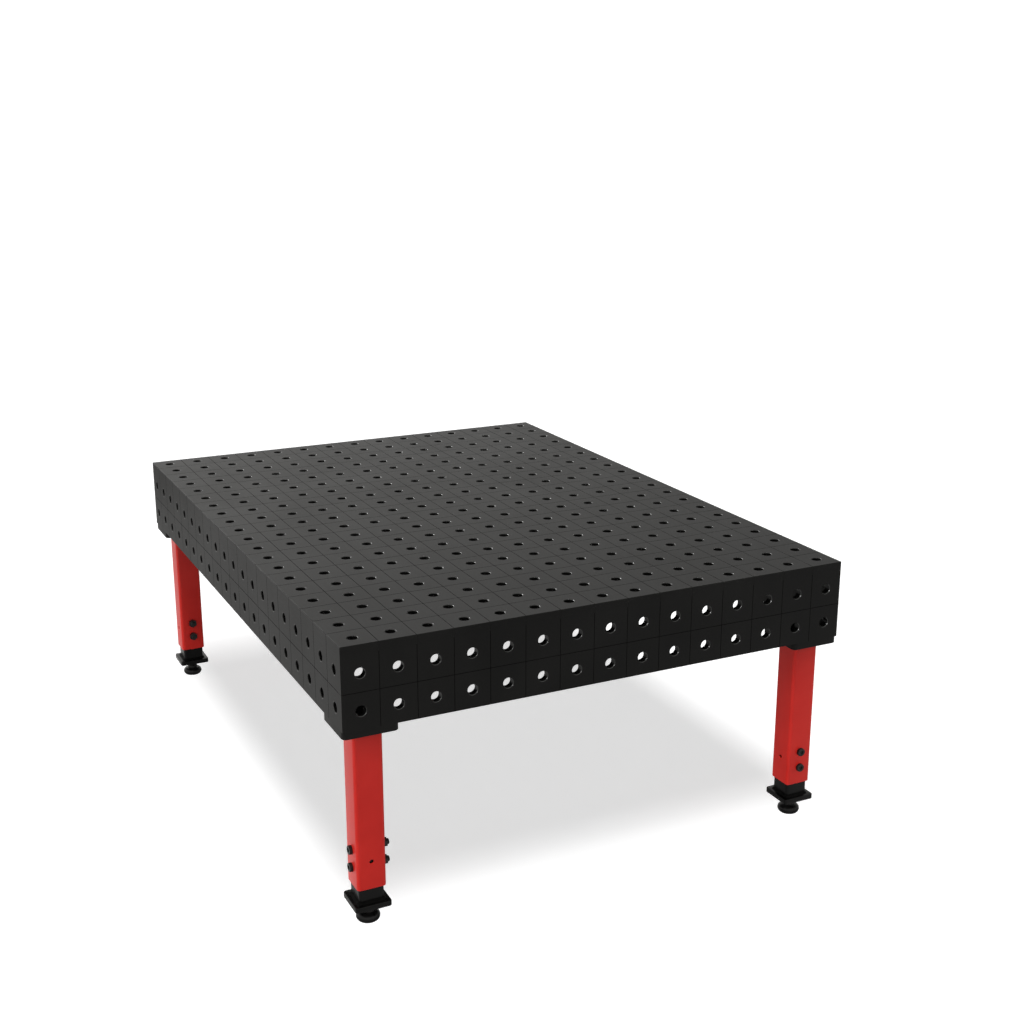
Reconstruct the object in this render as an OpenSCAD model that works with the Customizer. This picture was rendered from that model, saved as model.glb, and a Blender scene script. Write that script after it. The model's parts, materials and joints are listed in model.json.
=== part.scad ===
// Modular welding table on four height-adjustable legs.
// Origin: centre of the footprint on the floor. X runs along the length, Y across the width, +Z up.

/* [Table top] */
// Length of the table along X
table_l = 2000; // [1400:200:2600]
// Width of the table along Y
table_w = 1500; // [1100:200:1900]
// Height of the work surface above the floor
table_h = 800; // [740:10:900]
// Thickness of the top plate
top_t = 25; // [20:1:30]
// Diameter of the fixture bores
bore_d = 28; // [16:1:28]

/* [Side plates] */
// Height of the side plates below the top plate
side_h = 200; // [180:10:220]
// Thickness of the side plates
side_t = 20; // [12:1:20]
// Depth of the upper bore row below the work surface
row_depth = 75; // [60:5:80]

/* [Ribs] */
// Height of the stiffening ribs
rib_h = 50; // [40:5:60]
// Thickness of the stiffening ribs
rib_t = 12; // [8:1:15]

/* [Corner plates] */
// Side length of the square plate above each leg
corner_w = 150; // [140:5:160]
// Thickness of the corner plates
corner_t = 20; // [15:1:25]
// Radius of their corners
corner_r = 14; // [5:1:20]
// Distance of the four leg screws from each other
screw_gap = 40; // [36:1:44]

/* [Legs] */
// Distance of a leg's axis from the short face of the table
leg_in_x = 75; // [70:1:80]
// Distance of a leg's axis from the long face of the table
leg_in_y = 78; // [70:1:80]
// Outer width of the square leg tube
tube_w = 80; // [78:1:90]
// Wall of the leg tube
tube_t = 5; // [4:0.5:5]
// Outer corner radius of the leg tube
tube_r = 10; // [8:1:12]
// Height of the leg tube's lower end above the floor
tube_z = 110; // [105:1:120]
// Thickness of the threaded plug in the top of the leg tube
plug_t = 20; // [16:1:25]
// Height of the lower clamp bolt above the floor
bolt_z = 162; // [160:1:170]
// Distance between the two clamp bolts
bolt_gap = 50; // [40:1:60]
// Diameter of the clamp bolts
bolt_d = 16; // [12:1:16]
// Diameter of the cross hole between the bolts
cross_d = 12; // [6:1:14]

/* [Inner tubes] */
// Length of the inner tube
insert_l = 300; // [290:5:320]
// Wall of the inner tube
insert_t = 4; // [3:0.5:5]
// Outer corner radius of the inner tube
insert_r = 8; // [6:1:9]
// Free play between the inner tube and the leg tube
insert_play = 0.3; // [0.2:0.1:0.5]
// Height that each leg can be drawn out
leg_travel = 100; // [50:10:100]

/* [Feet] */
// Side length of the square base plate
base_w = 100; // [90:1:110]
// Thickness of the base plate
base_t = 15; // [12:1:18]
// Corner radius of the base plate
base_r = 8; // [4:1:12]
// Height of the base plate's underside above the floor
base_z = 53; // [53:1:58]
// Diameter of the levelling screw
screw_d = 20; // [16:1:20]
// Height of the levelling screw's upper end above the floor
screw_top = 140; // [130:1:142]
// Diameter of the foot pad
pad_d = 64; // [56:1:70]
// Height of the foot pad
pad_h = 25; // [20:1:25]

/* [Hidden] */
// Each leg's name, the sides of the axes that it stands on, and its turn: all bolt heads face outward
LEGS = ["front_left", "front_right", "rear_right", "rear_left"];
SIDE_X = [1, 1, -1, -1];
SIDE_Y = [-1, 1, 1, -1];
TURN = [0, 90, 180, 270];
// What each leg is made of
LEG_PARTS = [
    "corner_plate", "leg_plug", "leg_tube", "clamp_bolts", "clamp_nuts",
    "insert_tube", "base_plate", "weld_nut", "lock_nut", "foot_screw", "foot_pad"
];

$fn = 64;
BLACK = [0.16, 0.16, 0.155];
DARK = [0.10, 0.10, 0.10];
RED = [0.72, 0.15, 0.13];
FIT = 0.05;    // radial clearance of a screw in its thread or bore
PAST = 1;      // how far a cutting tool runs past the face that it cuts

pitch = 100;   // the bore grid of this system, on every face
long_rib_y = [-450, -150, 150, 450];   // midway between two rows of bores
cross_rib_x = [-500, 0, 500];

top_z = table_h - top_t;
side_z = top_z - side_h;
corner_z = side_z - corner_t;
rib_z = top_z - rib_h;
row_z = [table_h - row_depth, table_h - row_depth - pitch];
first_x = (table_l - pitch) / 2;
first_y = (table_w - pitch) / 2;
bores_x = [-first_x : pitch : first_x];
bores_y = [-first_y : pitch : first_y];

// Heads, nuts and threads: M16 low-head screws, M10 leg screws, M20 levelling screws
clamp_head_d = 1.5 * bolt_d;
clamp_head_h = 9;
clamp_socket_af = 0.75 * bolt_d;
clamp_socket_deep = 5;
clamp_nut_af = 1.5 * bolt_d;
clamp_nut_h = bolt_d;
clamp_end = 6;                 // thread that stands out of the nut
leg_screw_d = 10;
leg_screw_head_d = 16;
leg_screw_head_h = 10;
leg_screw_socket_af = 8;
leg_screw_socket_deep = 5;
leg_screw_l = 35;
screw_hole_d = 11;             // clearance hole of a leg screw
lock_af = 1.5 * screw_d;
lock_h = 10;
weld_nut_h = 16;
collar_h = 10;
pad_play = 0.1;                // between the collar and the pad
spigot_d = 0.8 * screw_d;
spigot_deep = 15;
base_hole_d = screw_d + 1;
insert_w = tube_w - 2 * tube_t - 2 * insert_play;
insert_z = base_z + base_t;
slot_d = bolt_d + 1;
slot_low = bolt_z - bolt_d / 2 - FIT + slot_d / 2;
slot_high = bolt_z + bolt_gap + leg_travel + bolt_d / 2 + FIT - slot_d / 2;

// A square with round corners, centred on the origin
module round_square(w, r) {
    square([w, w - 2 * r], center = true);
    square([w - 2 * r, w], center = true);
    for (sx = [-1, 1], sy = [-1, 1])
        translate([sx * (w / 2 - r), sy * (w / 2 - r)])
            circle(r);
}

// A square tube standing on z = 0
module square_tube(w, t, r, l)
    linear_extrude(l)
        difference() {
            round_square(w, r);
            round_square(w - 2 * t, r - t);
        }

// A hexagonal prism standing on z = 0, measured across its flats
module hexagon(af, h)
    cylinder(d = af / cos(30), h = h, $fn = 6);

// Puts a leg's parts, drawn about its own axis, at leg i
module at_leg(i)
    translate([SIDE_X[i] * (table_l / 2 - leg_in_x), SIDE_Y[i] * (table_w / 2 - leg_in_y), 0])
        rotate(TURN[i])
            children();

// Puts its children at both clamp bolts of a leg, with the bolt's own axis along +Z
module at_bolts()
    for (z = [bolt_z, bolt_z + bolt_gap])
        translate([0, 0, z])
            rotate([-90, 0, 0])
                children();

// Puts its children at the four leg screws of a leg
module at_leg_screws()
    for (sx = [-1, 1], sy = [-1, 1])
        translate([sx * screw_gap / 2, sy * screw_gap / 2, 0])
            children();

module top_plate()
    color(BLACK)
        translate([0, 0, top_z])
            linear_extrude(top_t)
                difference() {
                    square([table_l, table_w], center = true);
                    for (x = bores_x, y = bores_y)
                        translate([x, y])
                            circle(d = bore_d);
                }

// A side plate drawn flat: l long, with its bores at the places along it
module side_plate(l, places)
    linear_extrude(side_t)
        difference() {
            translate([-l / 2, side_z])
                square([l, side_h]);
            for (p = places, z = row_z)
                translate([p, z])
                    circle(d = bore_d);
        }

// The short plates run the full width and cover the ends of the long ones
module side_plate_front()
    color(BLACK)
        translate([table_l / 2 - side_t, 0, 0])
            rotate([90, 0, 90])
                side_plate(table_w, bores_y);

module side_plate_rear()
    color(BLACK)
        translate([-table_l / 2, 0, 0])
            rotate([90, 0, 90])
                side_plate(table_w, bores_y);

module side_plate_left()
    color(BLACK)
        translate([0, side_t - table_w / 2, 0])
            rotate([90, 0, 0])
                side_plate(table_l - 2 * side_t, bores_x);

module side_plate_right()
    color(BLACK)
        translate([0, table_w / 2, 0])
            rotate([90, 0, 0])
                side_plate(table_l - 2 * side_t, bores_x);

// Long and cross ribs lap halfway: the long ones are cut from below, the cross ones from above
module long_rib(i)
    color(DARK)
        difference() {
            translate([-table_l / 2 + side_t, long_rib_y[i] - rib_t / 2, rib_z])
                cube([table_l - 2 * side_t, rib_t, rib_h]);
            for (x = cross_rib_x)
                translate([x - rib_t / 2 - FIT, long_rib_y[i] - rib_t, rib_z - PAST])
                    cube([rib_t + 2 * FIT, 2 * rib_t, rib_h / 2 + PAST]);
        }

module cross_rib(i)
    color(DARK)
        difference() {
            translate([cross_rib_x[i] - rib_t / 2, -table_w / 2 + side_t, rib_z])
                cube([rib_t, table_w - 2 * side_t, rib_h]);
            for (y = long_rib_y)
                translate([cross_rib_x[i] - rib_t, y - rib_t / 2 - FIT, top_z - rib_h / 2])
                    cube([2 * rib_t, rib_t + 2 * FIT, rib_h / 2 + PAST]);
        }

module corner_plate(i)
    color(BLACK)
        difference() {
            translate([
                SIDE_X[i] * (table_l - corner_w) / 2,
                SIDE_Y[i] * (table_w - corner_w) / 2,
                corner_z
            ])
                linear_extrude(corner_t)
                    round_square(corner_w, corner_r);
            at_leg(i)
                at_leg_screws()
                    translate([0, 0, corner_z - PAST])
                        cylinder(d = screw_hole_d, h = corner_t + 2 * PAST);
        }

module leg_tube(i)
    color(RED)
        at_leg(i)
            difference() {
                translate([0, 0, tube_z])
                    square_tube(tube_w, tube_t, tube_r, corner_z - tube_z);
                at_bolts()
                    translate([0, 0, -tube_w])
                        cylinder(d = bolt_d + 2 * FIT, h = 2 * tube_w);
                translate([-tube_w, 0, bolt_z + bolt_gap / 2])
                    rotate([0, 90, 0])
                        cylinder(d = cross_d, h = 2 * tube_w);
            }

// The plug fills the top of the leg tube and holds the threads of the leg screws.
// Its corners are 1 mm rounder than the tube's inside, so that they stay clear of it.
module leg_plug(i)
    color(DARK)
        at_leg(i)
            difference() {
                translate([0, 0, corner_z - plug_t])
                    linear_extrude(plug_t)
                        round_square(tube_w - 2 * tube_t, tube_r - tube_t + 1);
                at_leg_screws()
                    translate([0, 0, corner_z - plug_t - PAST])
                        cylinder(d = leg_screw_d + 2 * FIT, h = plug_t + 2 * PAST);
            }

// A socket screw: its shank runs from z = 0 to -l, and its head stands on z = 0
module socket_screw(d, l, head_d, head_h, socket_af, socket_deep)
    difference() {
        union() {
            translate([0, 0, -l])
                cylinder(d = d, h = l);
            cylinder(d = head_d, h = head_h);
        }
        translate([0, 0, head_h - socket_deep])
            hexagon(socket_af, socket_deep + PAST);
    }

module leg_screws()
    color(DARK)
        for (i = [0 : len(LEGS) - 1])
            at_leg(i)
                at_leg_screws()
                    translate([0, 0, side_z])
                        socket_screw(
                            leg_screw_d, leg_screw_l, leg_screw_head_d, leg_screw_head_h,
                            leg_screw_socket_af, leg_screw_socket_deep
                        );

// The bolt's axis points to the nut, so the screw is turned over and its head is on the other face
module clamp_bolts(i)
    color(DARK)
        at_leg(i)
            at_bolts()
                translate([0, 0, -tube_w / 2])
                    rotate([180, 0, 0])
                        socket_screw(
                            bolt_d, tube_w + clamp_nut_h + clamp_end, clamp_head_d, clamp_head_h,
                            clamp_socket_af, clamp_socket_deep
                        );

module clamp_nuts(i)
    color(DARK)
        at_leg(i)
            at_bolts()
                translate([0, 0, tube_w / 2])
                    difference() {
                        hexagon(clamp_nut_af, clamp_nut_h);
                        translate([0, 0, -PAST])
                            cylinder(d = bolt_d + 2 * FIT, h = clamp_nut_h + 2 * PAST);
                    }

// The slots let the inner tube slide past the clamp bolts, which rest on the slots' lower ends
module insert_tube(i)
    color(DARK)
        at_leg(i)
            difference() {
                translate([0, 0, insert_z])
                    square_tube(insert_w, insert_t, insert_r, insert_l);
                for (z = [slot_low, slot_high])
                    translate([0, 0, z])
                        rotate([-90, 0, 0])
                            translate([0, 0, -tube_w])
                                cylinder(d = slot_d, h = 2 * tube_w);
                translate([-slot_d / 2, -tube_w, slot_low])
                    cube([slot_d, 2 * tube_w, slot_high - slot_low]);
            }

module base_plate(i)
    color(DARK)
        at_leg(i)
            translate([0, 0, base_z])
                linear_extrude(base_t)
                    difference() {
                        round_square(base_w, base_r);
                        circle(d = base_hole_d);
                    }

// A nut for the levelling screw, standing on z
module screw_nut(z, h)
    translate([0, 0, z])
        difference() {
            hexagon(lock_af, h);
            translate([0, 0, -PAST])
                cylinder(d = screw_d + 2 * FIT, h = h + 2 * PAST);
        }

module weld_nut(i)
    color(DARK)
        at_leg(i)
            screw_nut(insert_z, weld_nut_h);

module lock_nut(i)
    color(DARK)
        at_leg(i)
            screw_nut(base_z - lock_h, lock_h);

module foot_screw(i)
    color(DARK)
        at_leg(i) {
            translate([0, 0, pad_h + pad_play])
                hexagon(lock_af, collar_h);
            translate([0, 0, pad_h + pad_play])
                cylinder(d = screw_d, h = screw_top - pad_h - pad_play);
            translate([0, 0, pad_h - spigot_deep + pad_play])
                cylinder(d = spigot_d, h = spigot_deep + collar_h);
        }

// A round pad with a fully rounded rim and a blind bore for the screw's spigot
module foot_pad(i)
    color(DARK)
        at_leg(i)
            rotate_extrude()
                difference() {
                    union() {
                        square([(pad_d - pad_h) / 2, pad_h]);
                        translate([(pad_d - pad_h) / 2, pad_h / 2])
                            circle(d = pad_h);
                    }
                    translate([0, pad_h - spigot_deep])
                        square([spigot_d / 2 + FIT, spigot_deep + PAST]);
                }

top_plate();
side_plate_front();
side_plate_rear();
side_plate_left();
side_plate_right();
for (i = [0 : len(long_rib_y) - 1])
    long_rib(i);
for (i = [0 : len(cross_rib_x) - 1])
    cross_rib(i);
leg_screws();
for (i = [0 : len(LEGS) - 1]) {
    corner_plate(i);
    leg_plug(i);
    leg_tube(i);
    clamp_bolts(i);
    clamp_nuts(i);
    insert_tube(i);
    base_plate(i);
    weld_nut(i);
    lock_nut(i);
    foot_screw(i);
    foot_pad(i);
}
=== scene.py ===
import json
import math
import random

import bpy
from mathutils import Matrix, Vector

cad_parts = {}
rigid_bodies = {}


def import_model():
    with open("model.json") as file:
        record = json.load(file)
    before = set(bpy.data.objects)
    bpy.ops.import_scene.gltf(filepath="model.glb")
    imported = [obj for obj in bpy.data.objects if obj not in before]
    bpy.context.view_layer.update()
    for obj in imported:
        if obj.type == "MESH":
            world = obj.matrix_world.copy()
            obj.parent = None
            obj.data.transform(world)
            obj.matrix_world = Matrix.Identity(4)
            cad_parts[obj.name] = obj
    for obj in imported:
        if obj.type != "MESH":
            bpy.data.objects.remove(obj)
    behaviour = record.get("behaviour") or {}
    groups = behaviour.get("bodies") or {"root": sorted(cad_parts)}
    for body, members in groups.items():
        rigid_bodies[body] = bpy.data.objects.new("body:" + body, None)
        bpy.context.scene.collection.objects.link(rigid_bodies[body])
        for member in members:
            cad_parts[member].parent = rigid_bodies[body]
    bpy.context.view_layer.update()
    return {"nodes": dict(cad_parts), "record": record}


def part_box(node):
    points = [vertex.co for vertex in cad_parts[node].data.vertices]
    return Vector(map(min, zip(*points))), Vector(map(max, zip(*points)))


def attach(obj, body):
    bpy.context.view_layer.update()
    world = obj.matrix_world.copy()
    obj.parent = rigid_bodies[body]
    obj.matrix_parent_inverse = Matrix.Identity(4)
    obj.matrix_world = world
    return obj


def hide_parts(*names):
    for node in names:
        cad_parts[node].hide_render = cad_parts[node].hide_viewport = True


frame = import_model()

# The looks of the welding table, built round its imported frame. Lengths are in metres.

MM = 0.001
LEGS = ("front_left", "front_right", "rear_right", "rear_left")
TURN = dict(zip(LEGS, (0, 90, 180, 270)))      # degrees: the heads of the clamp bolts face outward
MOUNTS = {mount["name"]: mount for mount in frame["record"]["mounts"]}

PITCH = 100 * MM                               # of the bore grid
BORE_R = MOUNTS["top_bore"]["dims"]["r_mm"] * MM
BORE_EDGE = 1.4 * MM                           # chamfer of a bore at the outer face
BORE_BACK = 0.3 * MM                           # and at the inner face
PLATE_EDGE = 1.0 * MM                          # chamfer of a plate's free edges
BORE_STEPS = 12                                # steps in a quarter of a bore
LINE_HALF = 0.80 * MM                          # half the width of an engraved line
LINE_DEPTH = 0.5 * MM
# the ENGRAVED slot takes the darker line material, which is painted shade in the grooves
PLAIN, ENGRAVED, CHAMFER, BORE = range(4)      # the material slots of a bored plate
MERGE = 1e6                                    # points closer than a millionth of a metre are one
SHARP = math.radians(32)                       # an edge with a bigger angle is shaded sharp

THREAD_DEPTH = 0.5413                          # of an outside thread, in pitches
THREAD_END = 0.6                               # chamfer at its end, in pitches
HEX_CHAMFER = 0.475                            # radius of a hexagon's chamfer, in widths across its flats
HEX_SLOPE = math.tan(math.radians(30))         # of that chamfer
MOUTH = 0.8 * MM                               # chamfer at the mouth of a nut or a pad
WELD_WOBBLE = 0.03                             # of a bead's size, at random
WELD_LAG = 0.3                                 # how far the middle of a ripple trails, in ripples
WELD_BULGE = 0.16                              # of a bead's middle, over a flat fillet
WELD_LOW, WELD_RIPPLE = 0.95, 0.08             # a bead's size between two ripples, and what a ripple adds


# ---------------------------------------------------------------- mesh tools

class Shape:
    """Faces collected by their corner points. Points that coincide become one vertex."""

    def __init__(self):
        self.index = {}
        self.points = []
        self.faces = []
        self.slots = []

    def vertex(self, point):
        key = tuple(round(x * MERGE) for x in point)
        if key not in self.index:
            self.index[key] = len(self.points)
            self.points.append(tuple(point))
        return self.index[key]

    def face(self, points, slot=0):
        """Adds a face, unless it has shrunk to a line."""
        ids = [self.vertex(p) for p in points]
        ids = [v for k, v in enumerate(ids) if v != ids[k - 1]]
        if len(set(ids)) > 2:
            self.faces.append(ids)
            self.slots.append(slot)

    def loft(self, rings, slot=0, closed=True):
        """Joins each ring of points to the next one."""
        for low, high in zip(rings, rings[1:]):
            count = len(low)
            for k in range(count if closed else count - 1):
                n = (k + 1) % count
                self.face([low[k], low[n], high[n], high[k]], slot)

    def piece(self, name, body, slot, materials, replaces=(), matrix=None):
        """Makes the object, and places it on its body."""
        mesh = bpy.data.meshes.new(name)
        mesh.from_pydata(self.points, [], self.faces)
        mesh.polygons.foreach_set("material_index", self.slots)
        mesh.polygons.foreach_set("use_smooth", [True] * len(self.faces))
        mesh.set_sharp_from_angle(angle=SHARP)
        if matrix is not None:
            mesh.transform(matrix)
        for material in materials:
            mesh.materials.append(material)
        made = bpy.data.objects.new(name, mesh)
        bpy.context.scene.collection.objects.link(made)
        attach(made, body)
        if replaces:
            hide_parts(*replaces)
        return made


def placer(origin, u, v):
    """A function from a plate's own u, v and height w over its face to the frame."""
    origin, u, v = Vector(origin), Vector(u), Vector(v)
    w = u.cross(v)
    return lambda a, b, c: origin + a * u + b * v + c * w


def slot_outline(radius, straight, steps):
    """Four runs of points round a slot: right, top, left, bottom. With no straight part it is a circle."""
    runs = []
    for run in range(4):
        points = []
        for k in range(steps + 1):
            angle = math.radians(90 * run - 45) + math.pi / 2 * k / steps
            x, y = radius * math.cos(angle), radius * math.sin(angle)
            if run in (0, 2) and 2 * k == steps:
                side = -1 if run == 0 else 1
                points += [(x, side * straight), (x, -side * straight)]
            else:
                points.append((x, y + math.copysign(straight, y)))
        runs.append(points)
    return runs


def holed_face(shape, place, corners, centre, runs, w, up, slot=0):
    """A flat face between four corners, right round an outline's four runs."""
    for k, run in enumerate(runs):
        edge = [corners[k], corners[(k + 1) % 4]]
        inner = [(centre[0] + x, centre[1] + y) for x, y in reversed(run)]
        points = [place(a, b, w) for a, b in edge + inner]
        shape.face(points if up else points[::-1], slot)


def hole_wall(shape, place, centre, hole, steps, thick, edges, slots):
    """The wall of a hole through a plate. hole is (radius, straight), and edges its two chamfers."""
    radius, straight = hole
    front, back = edges
    rings = []
    for r, w in ((radius + front, 0), (radius, -front), (radius, back - thick), (radius + back, -thick)):
        outline = [p for run in slot_outline(r, straight, steps) for p in run]
        rings.append([place(centre[0] + x, centre[1] + y, w) for x, y in outline])
    for k, slot in enumerate(slots):
        shape.loft([rings[k + 1], rings[k]], slot)


def cell_corners(ends, outer, rim, notched):
    """The corner points of one square of a bored plate: right low, right high, left high, left low.

    Each holds the flat face's corner, the ends of both sides by their number, and the far corner, which is
    None where the chamfers of two free edges meet.
    """
    inset = [rim[k] if outer[k] else LINE_HALF for k in range(4)]
    drop = [rim[k] if outer[k] else LINE_DEPTH for k in range(4)]
    sign = (1, 1, -1, -1)

    def far(side, other):
        """Where a side ends. At a notched edge it is cut back by the depth of the line that reaches it."""
        cut_back = side in notched and outer[side] and not outer[other]
        return ends[side] - (sign[side] * LINE_DEPTH if cut_back else 0)

    corners = []
    for side_u, side_v in ((0, 3), (0, 1), (2, 1), (2, 3)):
        u, v = ends[side_u], ends[side_v]
        inner_u, inner_v = u - sign[side_u] * inset[side_u], v - sign[side_v] * inset[side_v]
        low = -max(drop[side_u], drop[side_v])
        cut = outer[side_u] and outer[side_v] and rim[side_u] and rim[side_v]
        corners.append({
            "flat": (inner_u, inner_v, 0),
            side_u: (u, inner_v, -drop[side_u]),
            side_v: (inner_u, v, -drop[side_v]),
            "far": None if cut else (far(side_u, side_v), far(side_v, side_u), low),
            "engraved": not (outer[side_u] and outer[side_v]),
        })
    return corners


def cell_face(shape, at, corners, outer, down):
    """The sloped sides and the corners round a cell's flat front face, or round its back one."""
    def add(points, slot):
        placed = [at(p, down) for p in points]
        shape.face(placed[::-1] if down else placed, slot)

    for k in range(4):
        start, end = corners[k], corners[(k + 1) % 4]
        before = start[(k - 1) % 4]
        slot = ENGRAVED if not (outer[k] or down) else PLAIN
        add([start["flat"], start[k], end[k], end["flat"]], slot)
        slot = ENGRAVED if start["engraved"] and not down else PLAIN
        if start["far"] is None:
            add([start["flat"], before, start[k]], slot)
        else:
            add([start["flat"], before, start["far"]], slot)
            add([start["flat"], start["far"], start[k]], slot)


def cell_edges(shape, at, corners, outer):
    """The plate's free edges along a cell, with the cut where two of them meet."""
    def strip(line):
        shape.loft([[at(p, True) for p in line], [at(p, False) for p in line]], PLAIN, closed=False)

    for k in range(4):
        start, end = corners[k], corners[(k + 1) % 4]
        if outer[k]:
            line = [start["far"], start[k], end[k], end["far"]]
            strip([p for p in line if p is not None])
        if start["far"] is None:
            strip([start[(k - 1) % 4], start[k]])


def plate_cell(shape, place, ends, outer, centre, thick, rim, notched):
    """One square of a bored plate. ends, outer and rim go right, top, left, bottom.

    A side on the outline has its chamfer, and any other one has half of an engraved line.
    """
    corners = cell_corners(ends, outer, rim, notched)
    flat = [corner["flat"][:2] for corner in corners]

    def at(point, down):
        return place(point[0], point[1], -thick if down else point[2])

    for down in (False, True):
        cell_face(shape, at, corners, outer, down)
        runs = slot_outline(BORE_R + (BORE_BACK if down else BORE_EDGE), 0, BORE_STEPS)
        holed_face(shape, place, flat, centre, runs, -thick if down else 0, not down)
    cell_edges(shape, at, corners, outer)
    edges = (BORE_EDGE, BORE_BACK)
    hole_wall(shape, place, centre, (BORE_R, 0), BORE_STEPS, thick, edges, (CHAMFER, BORE, CHAMFER))


def bored_plate(place, us, vs, bores_u, bores_v, thick, edges, notched):
    """A plate cut into cells at the lines us and vs, with a bore in each."""
    shape = Shape()
    for i, u in enumerate(bores_u):
        for j, v in enumerate(bores_v):
            ends = (us[i + 1], vs[j + 1], us[i], vs[j])
            outer = (i == len(bores_u) - 1, j == len(bores_v) - 1, i == 0, j == 0)
            plate_cell(shape, place, ends, outer, (u, v), thick, edges, notched)
    return shape


def circle(radius, z, count, start=0.0):
    return [
        Vector((radius * math.cos(a), radius * math.sin(a), z))
        for a in (start + 2 * math.pi * k / count for k in range(count))
    ]


def hexagon(flats, z, count):
    """A hexagon measured across its flats, as a ring of points at even angles."""
    points = []
    for k in range(count):
        angle = 2 * math.pi * k / count
        radius = flats / 2 / math.cos((angle + math.pi / 6) % (math.pi / 3) - math.pi / 6)
        points.append(Vector((radius * math.cos(angle), radius * math.sin(angle), z)))
    return points


def round_square(width, radius, z, steps=8):
    """A square with round corners, as a ring of points."""
    points = []
    for corner in range(4):
        middle = Vector((width / 2 - radius, width / 2 - radius, z))
        turn = Matrix.Rotation(math.pi / 2 * corner, 3, "Z")
        for k in range(steps + 1):
            angle = math.pi / 2 * k / steps
            points.append(turn @ (middle + radius * Vector((math.cos(angle), math.sin(angle), 0))))
    return points


def moved(rings, matrix):
    return [[matrix @ p for p in ring] for ring in rings]


def thread(shape, radius, pitch, low, high, matrix, count=32):
    """An outside thread from low to high, with a chamfered and closed upper end."""
    depth, chamfer = THREAD_DEPTH * pitch, THREAD_END * pitch
    rows = ((0, 0), (0.125, 0), (0.4375, depth), (0.6875, depth))   # how far up a turn, and how deep

    def point(step, turn):
        """A row's point after that many steps round."""
        share, cut = rows[turn % 4]
        z = low + pitch * (turn // 4 + share + step / count - 1)
        z = min(max(z, low), high)
        r = min(radius - cut, radius - chamfer + (high - z))
        angle = 2 * math.pi * step / count
        return matrix @ Vector((r * math.cos(angle), r * math.sin(angle), z))

    turns = 4 * (math.ceil((high - low) / pitch) + 1)
    for step in range(count):
        for turn in range(turns):
            shape.face([
                point(step, turn), point(step + 1, turn),
                point(step + 1, turn + 1), point(step, turn + 1),
            ])
    shape.face([matrix @ p for p in circle(radius - chamfer, high, count)])


def hex_rims(flats, low, height, count):
    """The radius of a hexagon's chamfer, and the lower and upper rim that it leaves on the sides."""
    chamfer_r = HEX_CHAMFER * flats
    lower = [
        Vector((p.x, p.y, low + max(p.xy.length - chamfer_r, 0) * HEX_SLOPE))
        for p in hexagon(flats, 0, count)
    ]
    upper = [Vector((p.x, p.y, 2 * low + height - p.z)) for p in lower]
    return chamfer_r, lower, upper


def hex_nut(shape, flats, height, bore_r, matrix, count=48):
    """A nut with chamfered corners, standing on z = 0."""
    chamfer_r, low, high = hex_rims(flats, 0, height, count)
    rings = [
        circle(bore_r, MOUTH, count), circle(bore_r + MOUTH, 0, count), circle(chamfer_r, 0, count),
        low, high,
        circle(chamfer_r, height, count), circle(bore_r + MOUTH, height, count),
        circle(bore_r, height - MOUTH, count), circle(bore_r, MOUTH, count),
    ]
    shape.loft(moved(rings, matrix))


def socket_screw(shape, radius, length, head_r, head_h, socket, deep, pitch, threaded, matrix):
    """A socket screw along Z. Its head stands on z = 0, and its shank runs down to -length."""
    count = 96
    knurl = 0.3 * MM                           # depth of the knurling on the head
    edge = 0.9 * MM                            # chamfer round the top of the head
    foot = 0.4 * MM                            # and round its underside
    mouth = 0.5 * MM                           # depth of the chamfer at the socket
    teeth = [p * (1 if k % 2 else 1 - knurl / head_r) for k, p in enumerate(circle(head_r, 0, count))]

    def knurled(z):
        return [Vector((p.x, p.y, z)) for p in teeth]

    mouth_r = socket / 2 / math.cos(math.pi / 6) + mouth / 2
    rings = [
        circle(radius, threaded - length, count), circle(radius, 0, count),
        circle(head_r - knurl - foot, 0, count), knurled(foot), knurled(head_h - edge),
        circle(head_r - edge, head_h, count), circle(mouth_r, head_h, count),
        hexagon(socket, head_h - mouth, count), hexagon(socket, head_h - deep, count),
        circle(0, head_h - deep - socket / 5, count),
    ]
    shape.loft(moved(rings, matrix))
    flip = matrix @ Matrix.Rotation(math.pi, 4, "X")
    thread(shape, radius, pitch, length - threaded, length, flip)


def weld(shape, path, leg, ripple, seed):
    """A fillet weld round a closed path of (point, direction along one plate, direction up the other)."""
    random.seed(seed)
    sides = 6
    rings = []
    length = 0.0
    for k, (point, out, up) in enumerate(path):
        if k:
            length += (point - path[k - 1][0]).length
        wobble = 1 + WELD_WOBBLE * (random.random() - 0.5)
        ring = [point]
        for s in range(sides + 1):
            phi = math.pi / 2 * s / sides
            wave = (length / ripple + WELD_LAG * math.sin(2 * phi)) % 1.0
            size = leg * wobble * (1 + WELD_BULGE * math.sin(2 * phi)) * (WELD_LOW + WELD_RIPPLE * wave)
            size /= math.cos(phi) + math.sin(phi)
            ring.append(point + size * (math.cos(phi) * out + math.sin(phi) * up))
        rings.append(ring)
    rings.append(rings[0])
    shape.loft([ring[::-1] for ring in rings])


# ---------------------------------------------------------------- materials

MIDDLE = (0.35, 0.65)                          # where most of a noise's values are
WIDE = (0.3, 0.7)                              # where nearly all of them are
MIX_A, MIX_B, MIX_RESULT = 6, 7, 2             # the colour sockets of a Mix node
SOOT = (0.0008, 0.0008, 0.0008)                # the darkest colour of a black coat


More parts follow.
